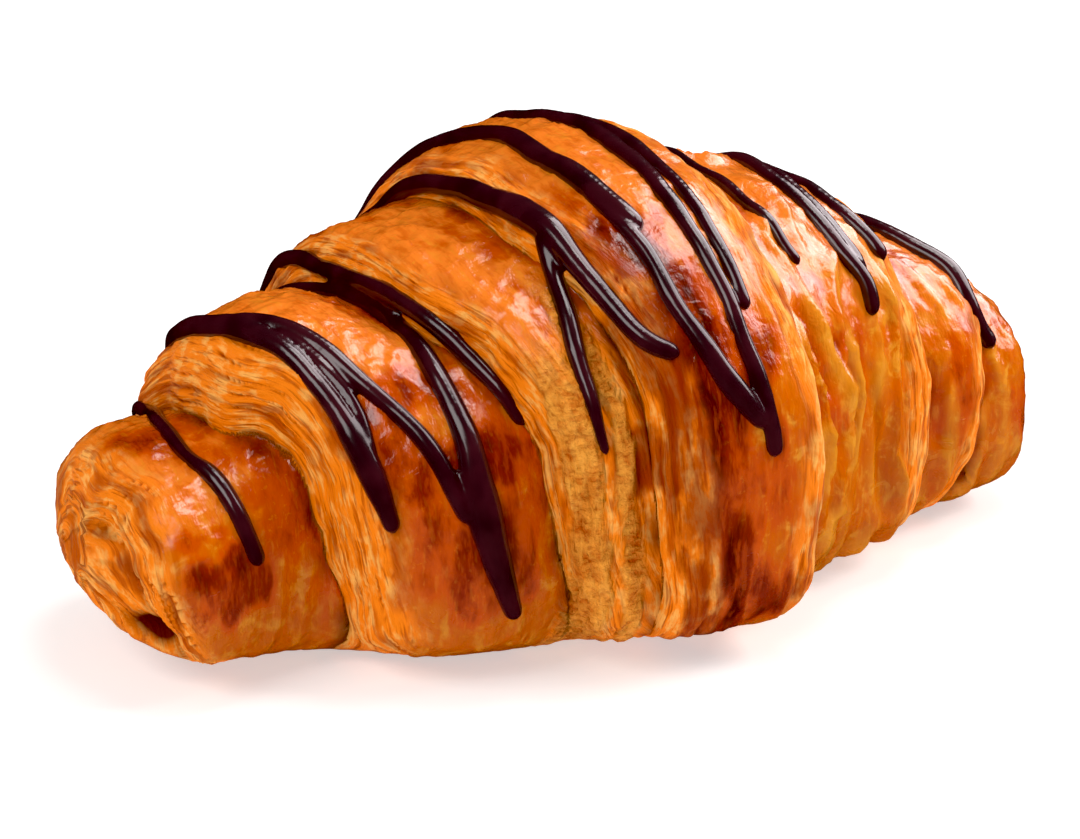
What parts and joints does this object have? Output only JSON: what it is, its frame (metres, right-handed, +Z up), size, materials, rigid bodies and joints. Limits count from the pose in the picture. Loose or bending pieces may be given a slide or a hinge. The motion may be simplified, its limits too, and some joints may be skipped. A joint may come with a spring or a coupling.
{
  "type": "croissant",
  "caption": "Baked crescent roll of laminated dough with stepped, spiral-wound tiers, glazed golden brown and drizzled with dark chocolate.",
  "frame": {"origin": "middle of the footprint, on the surface the croissant rests on", "axes": "+X along the roll towards its shorter-tiered tip, -Y towards its convex front, +Z up"},
  "size_m": [0.15, 0.0972, 0.0665],
  "materials": {
    "crust": "satin",
    "chocolate": "gloss"
  },
  "bodies": {
    "root": {"croissant": "crust", "drizzle_left_tip": "chocolate", "drizzle_left_web": "chocolate", "drizzle_middle_fork": "chocolate", "drizzle_crest_web": "chocolate", "drizzle_right_thin": "chocolate", "drizzle_right_double": "chocolate", "drizzle_right_short": "chocolate", "drizzle_right_tip": "chocolate"}
  },
  "joints": []
}
